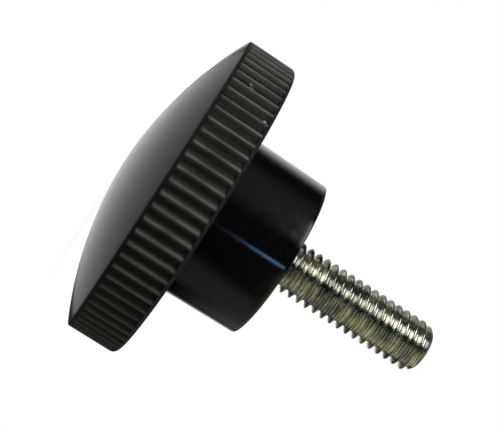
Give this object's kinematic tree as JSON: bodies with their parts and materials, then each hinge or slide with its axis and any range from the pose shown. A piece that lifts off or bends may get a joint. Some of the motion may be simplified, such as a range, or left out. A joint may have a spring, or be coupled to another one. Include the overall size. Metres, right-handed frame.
{
  "type": "knurled knob",
  "caption": "Round domed knob with a fluted rim and a plain hub, moulded round a male threaded stud for clamping or adjusting by hand.",
  "frame": {"origin": "centre of the hub's end face, where the stud leaves the moulding", "axes": "+Z along the axis towards the stud's free end; the domed head is on the -Z side; +X through the middle of one rib"},
  "size_m": [0.0476, 0.0476, 0.0516],
  "materials": {
    "black_phenolic": "moulded black phenolic, semi-gloss on dome and hub, duller on the fluted rim",
    "zinc_plated_steel": "bright zinc plating with a faint yellow and blue tint"
  },
  "bodies": {
    "root": {"knob_body": "black_phenolic", "threaded_stud": "zinc_plated_steel"}
  },
  "joints": []
}
